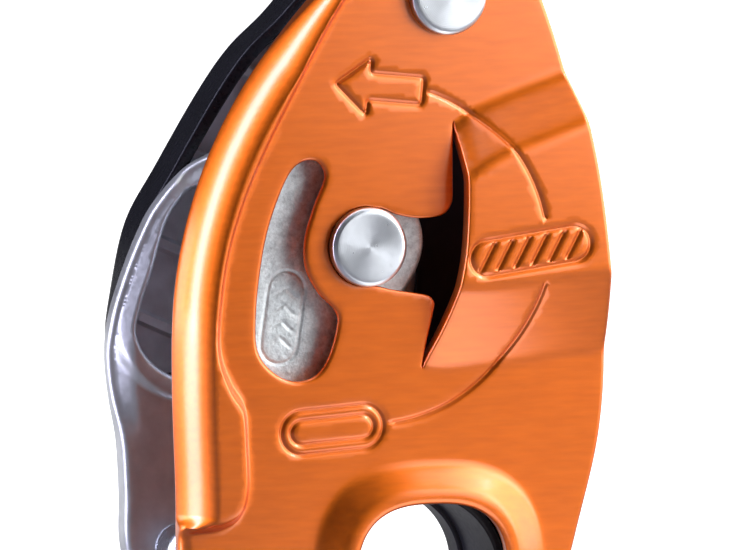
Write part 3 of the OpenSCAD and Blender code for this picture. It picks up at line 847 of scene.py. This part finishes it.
GUIDE_OUTER = [
    (4.4, 60.6), (9.4, 60), (13.4, 58), (16, 52.8), (17.8, 46), (19.2, 37.4), (19.9, 27), (19.2, 17.6),
    (17.2, 8.6), (14.4, 0), (12.4, -6), (8.6, -10.4)]
GUIDE_INNER = [
    (5.4, -9.4), (3.6, 0), (3.6, 10), (2.6, 18), (3, 28), (4, 38), (3.4, 47), (1.6, 53), (1.6, 60)]
GUIDE_FLOOR, GUIDE_WALL, GUIDE_FRONT = 0.8, 2.0, MOVING_IN + 0.6
COLLAR_WALL_R, COLLAR_WALL = COLLAR_R - 0.4, (-75, 80)


def strip_loop(line, width):
    """The loop round a band that follows a line, on its inner side."""
    return even(np.vstack([line, beside_line(line, -width)[::-1]]), 0.45, True)


def rope_guide():
    b = Build()
    outer = smooth_line(GUIDE_OUTER, 0.5)
    floor_loop = joined(outer, [GUIDE_OUTER[-1], GUIDE_INNER[0]], catmull(GUIDE_INNER, False),
                        [GUIDE_INNER[-1], GUIDE_OUTER[0]], soft=2)
    away = np.linalg.norm(floor_loop, axis=1)
    close = away < COLLAR_R + 0.5
    floor_loop[close] *= ((COLLAR_R + 0.5) / np.maximum(away[close], 1e-6))[:, None]
    b.slab(even(floor_loop, 0.5, True), [(circle(h, GUIDE_PIN_R + 0.05, 0.3), 0.1) for h in GUIDE_HOLES],
           -GUIDE_FLOOR, 0, 0.2, 0.1)
    b.slab(strip_loop(outer, GUIDE_WALL), [], GUIDE_FRONT, -0.02, 0.55, 0.1)
    b.spin((0, 0), [(HOLE_R, -GUIDE_FLOOR), (COLLAR_R + 0.8, -GUIDE_FLOOR), (COLLAR_R + 0.8, -0.01),
                    (COLLAR_R, -0.01), (COLLAR_R, FIXED_T), (HOLE_R, FIXED_T)], True, 0.3)
    lo, hi = COLLAR_WALL
    wall = np.vstack([arc((0, 0), COLLAR_R + 0.7, lo, hi, 0.4), arc((0, 0), COLLAR_WALL_R, hi, lo, 0.4)])
    b.slab(even(wall, 0.4, True), [], GUIDE_FRONT, -0.4, 0.35, 0.1)
    b.piece("rope_guide_moulding", "frame", ["rope_guide"], "guide_nylon")


def rivets(name, body, stands_for, at, r, front, back, front_head, back_head, slot="rivet_steel"):
    """Rivets with a shank between two depths and a head of (radius, height) at each end."""
    b = Build()
    for h in at:
        (fr, fh), (br, bh) = front_head, back_head
        profile = [(0, front - fh)]
        profile += [(fr * 0.7, front - fh), (fr, front - fh * 0.45), (fr, front)] if fh else []
        profile += [(r, front), (r, back)]
        profile += [(br, back), (br, back + bh * 0.45), (br * 0.7, back + bh)] if bh else []
        profile += [(0, back + bh)]
        b.spin(h, profile, edge=0.2, sides=48)
    b.piece(name, body, stands_for, slot)


SHOE_LINE = [(-13.9, 63.2), (-11, 64), (-8, 64.3), (-4.8, 63.9), (-1.6, 62.6)]
FOOT = [
    (-11.4, 62.6), (-10.2, 65.6), (-8, 68.4), (-5.6, 71.2), (-3.4, 71.4), (-2.3, 69), (-2.6, 66),
    (-4.2, 62.8)]
SHOE_T, SHOE_FRONT, FOOT_T = 2.4, MOVING_IN + 0.7, 1.6


def friction_plate():
    b = Build()
    line = smooth_line(SHOE_LINE, 0.4)
    shoe = even(np.vstack([line, (line - [0.4, SHOE_T])[::-1]]), 0.4, True)
    b.slab(shoe, [], SHOE_FRONT, -0.02, 0.45, 0.2)
    holes = [(circle(h, FRICTION_PIN_R + 0.03, 0.3), 0.1) for h in FRICTION_HOLES]
    b.slab(relaxed(even(FOOT, 0.4, True), 3), holes, -FOOT_T, -0.02, 0.3, 0.1)
    b.piece("friction_shoe", "frame", ["friction_plate"], "bare_steel")


def keeper_stud():
    b = Build()
    tail = FIXED_T + FLUSH_TAIL
    head = [(0, -5.6), (1.3, -5.5), (2.3, -5.15), (KEEPER_HEAD_R, -4.2), (KEEPER_HEAD_R, 0)]
    end = [(KEEPER_R, 0), (KEEPER_R, FIXED_T), (2.6, FIXED_T), (2.6, tail), (0, tail)]
    b.spin(KEEPER_AT, head + end, edge=0.35, sides=64)
    b.piece("keeper_stud", "frame", ["rope_keeper_stud"], "rivet_steel")


def pivot_head():
    """Profile of the broad head that both axles share, from its middle to its neck."""
    top, under = HEAD_TOP, MOVING_OUT - 0.15
    return [(0, top + 0.02), (2.2, top + 0.01), (3.5, top), (HEAD_R - 0.5, top), (HEAD_R - 0.08, top + 0.3),
            (HEAD_R, top + 0.5), (HEAD_R, under)]


def axles():
    b = Build()
    neck = [(3.4, MOVING_OUT - 0.15), (3.4, MOVING_IN + 0.6), (2.5, MOVING_IN + 0.6), (2.5, FIXED_T + 0.8),
            (3.5, FIXED_T + 1.5), (3.2, FIXED_T + 1.7), (0, FIXED_T + 1.75)]
    b.spin(PIVOT, pivot_head() + neck, edge=0.18)
    b.piece("swing_pivot", "frame", ["swing_pivot_rivet"], "rivet_steel", PIVOT_STEEL)
    b = Build()
    tail = GRIP_REAR + 1
    neck = [(3.5, MOVING_OUT - 0.15), (3.5, CAM_FRONT - 0.3), (3, CAM_FRONT - 0.3), (3, tail - 0.25),
            (3.8, tail + 0.3), (3.7, tail + 0.85), (0, tail + 1)]
    b.spin(AXLE, pivot_head() + neck, edge=0.18)
    b.piece("cam_axle_pin", "frame", ["cam_axle"], "rivet_steel", AXLE_STEEL)


def ring(name, body, stands_for, slot, at, r, bore, front, back, edge=0.12):
    b = Build()
    b.spin(at, [(bore, front), (r, front), (r, back), (bore, back)], True, edge, 72)
    b.piece(name, body, stands_for, slot)


def retaining_ring():
    """A ring with a gap, set in the axle's groove."""
    b = Build()
    outer = arc(AXLE, 4.6, 20, 340, 0.3)
    inner = arc(AXLE, 3.03, 340, 20, 0.3)
    b.slab(even(np.vstack([outer, inner]), 0.3, True), [], GRIP_REAR - 0.5, GRIP_REAR - 0.1, 0.08, 0.08)
    b.piece("retaining_ring", "frame", ["handle_retaining_ring"], "bare_steel")


def coil(name, body, stands_for, at, coil_r, wire_r, turns, y_front, leg, start):
    per_turn, pitch = 56, 2.1 * wire_r
    steps = int(turns * per_turn)
    a = np.radians(start + 360 * np.arange(steps + 1) / per_turn)
    turn = np.arange(steps + 1) / per_turn
    depth = y_front + wire_r + pitch * turn
    line = np.column_stack([at[0] + coil_r * np.cos(a), depth, at[1] + coil_r * np.sin(a)])

    def along(k):
        return np.array([-math.sin(a[k]), 0, math.cos(a[k])])

    head = [line[0] - along(0) * leg * k / 4 for k in (4, 3, 2, 1)]
    tail = [line[-1] + along(-1) * leg * k / 4 for k in (1, 2, 3, 4)]
    b = Build()
    b.wire(np.vstack([head, line, tail]), wire_r)
    b.piece(name, body, stands_for, "spring_steel")


# ---------- cam ----------

CAM_OUTLINE = [
    (0.5, 39.6), (-1.6, 45.6), (-7.6, 48.8), (-13.6, 50.4), (-18.6, 51.2), (-22.4, 49.4), (-24.2, 45),
    (-24.6, 39.4), (-23.8, 32.6), (-21.8, 26.6), (-18, 23.2), (-13.6, 23.2), (-11, 26.6), (-8.4, 30.4),
    (-2.6, 33.4)]
CAM_GROOVE, CAM_GROOVE_HALF, POCKET_R, POCKET_Y = 2.2, 3.4, 6.0, -4.4
CAM_MARK_AT, CAM_MARK_TILT, CAM_MARK_LONG, CAM_MARK_WIDE = np.array([-17.3, 31.6]), -8, 11.0, 4.6


def cam_mark():
    """A capsule with a stack of chevrons, pressed in the cam's front face."""
    half, r = CAM_MARK_LONG / 2 - CAM_MARK_WIDE / 2, CAM_MARK_WIDE / 2
    outline = np.vstack([arc((0, half), r, 0, 180, 0.25), arc((0, -half), r, 180, 360, 0.25)])
    lines = [closed(even(outline, 0.25, True))]
    for z in np.linspace(-3.3, 2.5, 4):
        lines.append(even([(-1.25, z), (0, z + 0.95), (1.25, z)], 0.2))
    return [turned(line, CAM_MARK_TILT) + CAM_MARK_AT for line in lines]


cam_lines = cam_mark()
CAM_LINE_HALF, CAM_LINE_DEPTH, CAM_BORE_R = 0.32, 0.09, 4.02


def cam_front(p):
    cut = np.zeros(len(p))
    near = np.linalg.norm(p - CAM_MARK_AT, axis=1) < 8
    if near.any():
        d = np.minimum.reduce([abs(distance(p[near], line)) for line in cam_lines]) / CAM_LINE_HALF
        cut[near] = CAM_LINE_DEPTH * np.clip(1 - d * d, 0, 1) ** 1.5
    return CAM_FRONT + cut


def cam():
    b = Build()
    loop = facing(smooth_loop(CAM_OUTLINE, 0.45))
    n = inward(loop)
    mid = (CAM_FRONT + CAM_REAR) / 2
    rows = rounded_rim(b, loop, CAM_FRONT, 0.7, 0.6, 6)
    side = [rows[-1]]
    for k in np.linspace(-1, 1, 17):
        side.append(b.row(loop + n * CAM_GROOVE * math.sqrt(max(0, 1 - k * k)), mid + CAM_GROOVE_HALF * k))
    for away, short in quarter():
        side.append(b.row(loop + n * 0.6 * away, CAM_REAR - 0.6 * short))
    b.tube(side)
    bore = facing(circle(AXLE, CAM_BORE_R, 0.4), True)
    out = inward(bore)
    front = rounded_rim(b, bore, CAM_FRONT, 0.3, 0.3, 4)
    pocket = (bore - AXLE) / CAM_BORE_R * POCKET_R + AXLE
    inner = [front[-1], b.row(bore, POCKET_Y), b.row(bore + out * 0.02, POCKET_Y),
             b.row(pocket - out * 0.02, POCKET_Y), b.row(pocket, POCKET_Y + 0.02),
             b.row(pocket, CAM_REAR - 0.25), b.row(pocket + out * 0.25, CAM_REAR)]
    b.tube(inner)
    across = (-1.3, -0.8, -0.4, 0, 0.4, 0.8, 1.3)
    details = [beside_line(line, CAM_LINE_HALF * k) for line in cam_lines for k in across]
    b.skin([rows[0], front[0]], cam_front, 0.6, details)
    b.skin([side[-1], inner[-1]], lambda p: full(p, CAM_REAR), 1.5)
    b.piece("cam_casting", "cam", ["cam"], "cast_cam")


# ---------- handle ----------

GRIP_OUTLINE = [
    (-31.9, 27.4), (-31.3, 33.4), (-29.4, 41.6), (-25.6, 48.2), (-20.4, 56.7), (-16.4, 62.1), (-12, 66.2),
    (-8.3, 70.4), (-5.4, 75.2), (-3.6, 79.8), (-1.7, 82.2), (0.7, 81.8), (0.9, 78.6), (-1.6, 74.4),
    (-4, 69.4), (-6, 64), (-6.2, 57.8), (-1.6, 52.4), (4.6, 47.8), (6.2, 40.4), (3.8, 32.6), (-2.4, 27.2),
    (-10, 25.4), (-18, 23.4), (-25, 21.2), (-30, 22.4)]
GRIP_HOLLOW = [
    (-30.2, 28), (-29.8, 33.2), (-28, 41), (-24.3, 47.4), (-19.2, 55.6), (-15.2, 61), (-11.4, 64.4),
    (-8.4, 65.2), (-7.9, 62), (-8.2, 57), (-3.4, 51), (2.6, 46.8), (4.4, 40.4), (2.4, 33.4), (-2.8, 28.9),
    (-10.4, 27.1), (-18.4, 25.1), (-25, 23.1), (-29, 24.2)]
CORE_OUTLINE = [
    (-17.6, 38), (-17.6, 46), (-17, 53), (-14.4, 59.6), (-11.8, 61.4), (-10.6, 57), (-6, 49.6), (-4, 42),
    (-8, 34), (-14, 33)]
CORE_BACK = GRIP_FRONT + 2
GRIP_FLOOR, HUB_R, BUSH_R, CORE_HUB_R = CORE_BACK + 0.9, 9.6, 4.2, 11.0
GRIP_RIBS = [(-25.8, 29.2, 24, 8.6), (-23.8, 38.2, 24, 9.4), (-18.2, 47.4, 32, 10), (-12.6, 57.2, 38, 7.6)]
WELL_R, WELL_Y = 6.6, GRIP_REAR - 3.4
FINGER_GROOVES = [
    ((-29.2, 36.6), (-20.2, 34.4)), ((-27.2, 42.4), (-18.6, 39.2)), ((-24.6, 48), (-16.4, 43.8)),
    ((-21.4, 53.4), (-14.2, 48.6)), ((-17.9, 58.4), (-11.8, 53.4)), ((-14.2, 62.6), (-9.2, 58))]


def grip_floor(p):
    rise = np.zeros(len(p))
    for x, z, slope, length in GRIP_RIBS:
        q = turned(p - [x, z], slope)
        beside, past = step_up(abs(q[:, 1]), 0.5, 0.95), step_up(abs(q[:, 0]), length / 2, length / 2 + 0.6)
        rise = np.maximum(rise, (1 - beside) * (1 - past))
    boss = 1 - step_up(np.linalg.norm(p - AXLE, axis=1), HUB_R - 0.15, HUB_R + 0.25)
    return GRIP_FLOOR - 0.9 * np.maximum(rise, boss)


def grip_back(p):
    dip = np.zeros(len(p))
    for a, c in FINGER_GROOVES:
        d = abs(distance(p, np.array([a, c], float)))
        dip = np.maximum(dip, np.clip(1 - (d / 1.5) ** 2, 0, 1) ** 2)
    away = np.linalg.norm(p - AXLE, axis=1)
    clear = step_up(away, 9.4, 10.6)
    return GRIP_REAR - 0.75 * dip * clear - 0.35 * clear * step_up(away, 9.4, 11.5)


def room(loop, most):
    """How far each point of a loop can move in before it meets the other side."""
    n = inward(loop)
    free = full(loop, 0.3)
    for s in np.arange(0.4, most + 0.01, 0.2):
        clear = distance(loop + n * s, loop, True) > 0.96 * s
        free = np.where(clear & (free > s - 0.25), s, free)
    for _ in range(8):
        free = np.minimum(free, (np.roll(free, 1) + free + np.roll(free, -1)) / 3)
    return free * 0.92


def handle_grip():
    b = Build()
    outline = facing(smooth_loop(GRIP_OUTLINE, 0.5))
    n = inward(outline)
    outer = rounded_rim(b, outline, GRIP_FRONT, 0.35, 0.35, 4)
    back = room(outline, 2.8)
    tail = [outer[-1]]
    for away, short in quarter(10):
        at = outline + n * (back * away)[:, None]
        end = GRIP_REAR - 0.35 if short else grip_back(outline + n * back[:, None])
        tail.append(b.row(at, end - back * short))
    b.tube(tail)
    hollow = facing(smooth_loop(GRIP_HOLLOW, 0.45), True)
    m = inward(hollow)
    lip = rounded_rim(b, hollow, GRIP_FRONT, 0.25, 0.25, 4)
    pit = [lip[-1]]
    for away, short in quarter():
        at = hollow - m * 0.6 * away
        level = GRIP_FLOOR if short else grip_floor(at)
        pit.append(b.row(at, np.maximum(level - 0.6 * short, GRIP_FRONT + 0.3)))
    b.tube(pit)
    b.skin([outer[0], lip[0]], lambda p: full(p, GRIP_FRONT), 0.7)
    bore = facing(circle(AXLE, BUSH_R, 0.4), True)
    unit = (bore - AXLE) / BUSH_R
    front = b.row(bore, CORE_BACK + 0.01)
    well = [(WELL_R + 0.5, GRIP_REAR), (WELL_R + 0.15, GRIP_REAR), (WELL_R, GRIP_REAR - 0.2),
            (WELL_R, WELL_Y + 0.3), (WELL_R - 0.3, WELL_Y), (BUSH_R + 0.02, WELL_Y)]
    rim = [b.row(unit * r + AXLE, y) for r, y in well] + [b.row(bore, WELL_Y - 0.02), front]
    b.tube(rim)
    ribs = []
    for x, z, slope, length in GRIP_RIBS:
        along = np.linspace(-length / 2, length / 2, int(length / 0.3))
        for k in (-0.95, -0.72, -0.5, 0.5, 0.72, 0.95):
            ribs.append(turned(np.column_stack([along, full(along, k)]), -slope) + [x, z])
    first = len(b.faces)
    b.skin([pit[-1], front], grip_floor, 0.8, ribs)
    b.second.append((first, len(b.faces)))
    b.skin([tail[-1], rim[0]], grip_back, 0.7)
    b.piece("handle_moulding", "handle", ["handle_grip"], "handle_nylon", second=GRIP_WEB)


def handle_core():
    b = Build()
    shape = smooth_loop(CORE_OUTLINE, 0.4)
    disc = circle(AXLE, CORE_HUB_R, 0.4)
    outside = shape[np.linalg.norm(shape - AXLE, axis=1) > CORE_HUB_R]
    around = disc[~inside(disc, [shape])]
    both = np.vstack([outside, around])
    start = np.array([-10.5, 47.0])
    both = both[np.argsort(np.arctan2(both[:, 1] - start[1], both[:, 0] - start[0]))]
    holes = [(circle(AXLE, BUSH_R, 0.4), 0.15)]
    holes += [(circle(h, HANDLE_PIN_R + 0.02, 0.3), 0.1) for h in HANDLE_PINS]
    slot = arc_slot(DRIVE_R, STUD_R + 0.4, DRIVE_ANGLE - CAM_TRAVEL - HANDLE_TRAVEL - 4, DRIVE_ANGLE + 4)
    holes.append((slot, 0.15))
    b.slab(relaxed(even(both, 0.4, True), 4), holes, GRIP_FRONT, CORE_BACK, 0.25, 0.2)
    b.piece("handle_core_plate", "handle", ["handle_core"], "bare_steel")


fixed_side_plate()
rope_guide()
rivets("guide_rivets", "frame", ["rope_guide_rivets"], GUIDE_HOLES, GUIDE_PIN_R, -GUIDE_FLOOR, FIXED_T,
       (2.1, 0.8), (2.0, FLUSH_TAIL))
friction_plate()
rivets("friction_rivets", "frame", ["friction_plate_rivets"], FRICTION_HOLES, FRICTION_PIN_R, -FOOT_T,
       FIXED_T, (FRICTION_HEAD_R, 0.8), (FRICTION_HEAD_R, FLUSH_TAIL))
keeper_stud()
axles()
ring("pivot_spacer", "frame", ["swing_pivot_spacer"], "bare_steel", PIVOT, 4.3, PIVOT_R + 0.02,
     MOVING_IN + 0.6, 0, 0.3)
ring("pivot_rear_washer", "frame", ["swing_pivot_rear_washer"], "bare_steel", PIVOT, 4.4,
     PIVOT_R + 0.02, FIXED_T, FIXED_T + 0.7)
ring("axle_washer", "frame", ["axle_end_washer"], "bare_steel", AXLE, 5.4, AXLE_R + 0.02,
     GRIP_REAR + 0.2, GRIP_REAR + 0.7, 0.15)
retaining_ring()
coil("cam_spring", "frame", ["cam_return_spring"], AXLE, 5, 0.45, 3, POCKET_Y + 0.3, 1.6, 300)
coil("handle_spring", "frame", ["handle_return_spring"], AXLE, 5.3, 0.4, 2.5, GRIP_REAR - 3.1, 1.2, 120)
ring("swing_washer", "side_plate", ["swing_friction_washer"], "bare_steel", PIVOT, 6, SWING_BORE_R,
     MOVING_IN, MOVING_IN + 0.5)
cam()
ring("front_bush", "cam", ["cam_bush_front"], "bush_bronze", AXLE, 4, HUB_BORE_R, CAM_FRONT + 0.1,
     CAM_FRONT + 3)
ring("rear_bush", "cam", ["cam_bush_rear"], "bush_bronze", AXLE, 4, HUB_BORE_R, POCKET_Y - 3,
     POCKET_Y - 0.1)
drive = math.radians(DRIVE_ANGLE)
stud_at = AXLE + DRIVE_R * np.array([math.cos(drive), math.sin(drive)])
rivets("drive_stud", "cam", ["cam_drive_stud"], [stud_at], STUD_R, POCKET_Y, FIXED_T + 1.8, (0, 0), (0, 0),
       "bare_steel")
handle_core()
handle_grip()
ring("hub_bush", "handle", ["handle_bush"], "bush_bronze", AXLE, BUSH_R, HUB_BORE_R, GRIP_FRONT,
     WELL_Y)
rivets("grip_rivets", "handle", ["handle_rivets"], HANDLE_PINS, HANDLE_PIN_R, GRIP_FRONT, GRIP_REAR - 0.5,
       (2.2, 0.3), (2.0, 0.6))


# ---------- stage, light and camera ----------

SCALE_PX = 8.5
FRAME_W = 732
DISTANCE = 1500.0
AIM = Vector((-9.01, -18.0, 36.88)) * MM
CAMERA_AZIMUTH, CAMERA_ELEVATION = -20, 5
LIGHTS_AIM = Vector((0, 0, 0.035))
FLOOR_GAP = 0.0005


def toward(azimuth, elevation):
    """Unit vector from the object to a place at an azimuth and elevation, both in degrees."""
    a, e = math.radians(azimuth), math.radians(elevation)
    return Vector((math.sin(a) * math.cos(e), -math.cos(a) * math.cos(e), math.sin(e)))


def camera():
    data = bpy.data.cameras.new("camera")
    data.sensor_width = 36
    data.lens = SCALE_PX * DISTANCE * data.sensor_width / FRAME_W
    data.clip_start, data.clip_end = 0.1, 20
    thing = placed("camera", data)
    back = toward(CAMERA_AZIMUTH, CAMERA_ELEVATION)
    thing.location = AIM + back * DISTANCE * MM
    thing.rotation_mode = "QUATERNION"
    thing.rotation_quaternion = (-back).to_track_quat("-Z", "Y")
    bpy.context.scene.camera = thing


def light(name, at, aim, width, height, radiance, tone=(1, 1, 1)):
    """A rectangular lamp, with its size in metres, that the camera doesn't see."""
    data = bpy.data.lights.new(name, "AREA")
    data.shape = "RECTANGLE"
    data.size, data.size_y = width, height
    data.color = tone
    data.energy = radiance * math.pi * width * height
    thing = placed(name, data)
    thing.location = at
    thing.rotation_mode = "QUATERNION"
    thing.rotation_quaternion = (aim - at).to_track_quat("-Z", "Y")
    thing.visible_camera = False
    return thing


def softbox(name, azimuth, elevation, distance_m, width, height, radiance, tone=(1, 1, 1)):
    at = LIGHTS_AIM + toward(azimuth, elevation) * distance_m
    light(name, at, LIGHTS_AIM, width, height, radiance, tone)


def stage():
    data = bpy.data.meshes.new("floor")
    z, half = CAD_BOX[0].z - FLOOR_GAP, 3
    corners = [(-half, -half, z), (half, -half, z), (half, half, z), (-half, half, z)]
    data.from_pydata(corners, [], [(0, 1, 2, 3)])
    floor = placed("floor", data)
    # The floor glows more towards the back: painted light that lights the device from below and behind.
    # Bounced and reflected rays see the floor darker (0.2) than the camera does (0.6).
    paper = material("floor_paper", (0.6, 0.6, 0.6), 0, 0.8, **{"Emission Color": (1, 1, 1, 1)})
    shader = principled(paper)
    place = node(paper, "TexCoord")
    axes = node(paper, "SeparateXYZ")
    glow = node(paper, "MapRange")
    settings(glow, {"From Min": 0.0, "From Max": 0.3, "To Min": 0.0, "To Max": 1.2})
    wire(paper, place, "Object", axes, "Vector")
    wire(paper, axes, "Y", glow, "Value")
    wire(paper, glow, "Result", shader, "Emission Strength")
    seen = node(paper, "LightPath")
    shade = node(paper, "MapRange")
    settings(shade, {"To Min": 0.2, "To Max": 0.6})
    wire(paper, seen, "Is Camera Ray", shade, "Value")
    wire(paper, shade, "Result", shader, "Base Color")
    data.materials.append(paper)
    world = bpy.data.worlds.new("studio")
    bpy.context.scene.world = world
    world.use_nodes = True
    path = node(world, "LightPath")
    mix = node(world, "MixShader")
    white = node(world, "Background", Color=(1, 1, 1, 1))
    around = world.node_tree.nodes["Background"]
    settings(around, {"Color": (0.5, 0.5, 0.52, 1), "Strength": 0.07})
    wire(world, path, "Is Camera Ray", mix, "Fac")
    wire(world, around, "Background", mix, 1)
    wire(world, white, "Background", mix, 2)
    wire(world, mix, "Shader", world.node_tree.nodes["World Output"], "Surface")


COOL = (0.88, 0.87, 1.2)
camera()
softbox("right_box", 66, 24, 0.34, 0.36, 0.42, 3.0)
softbox("hot", 60, 40, 0.8, 0.12, 0.12, 17, COOL)
softbox("strip", -82, 20, 0.8, 0.14, 1.5, 15, COOL)
softbox("left_low", -105, -2, 0.8, 0.3, 0.5, 4.2)
softbox("top", 10, 80, 0.9, 0.6, 0.6, 1.8)
softbox("upper_card", 34, 14, 0.35, 0.2, 0.2, 2.2)
softbox("near_card", 35, 22, 0.24, 0.14, 0.14, 0.7)
softbox("back_right", 140, 20, 1.4, 1.0, 1.0, 0.8)
light("floor_card", Vector((0.018, -0.055, -0.014)), Vector((0.018, -0.055, 1.0)), 0.036, 0.06, 1.8)
softbox("right_rim", 118, 6, 0.6, 0.3, 0.8, 5)
lip_card = light("lip_card", Vector((-0.149, -0.026, 0.007)), Vector((-0.03, -0.0155, 0.007)), 0.04, 0.046, 8,
                 COOL)
lip_card.visible_diffuse = False
stage()
view = bpy.context.scene.view_settings
view.view_transform = "Standard"
view.look = "None"

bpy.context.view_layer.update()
import json
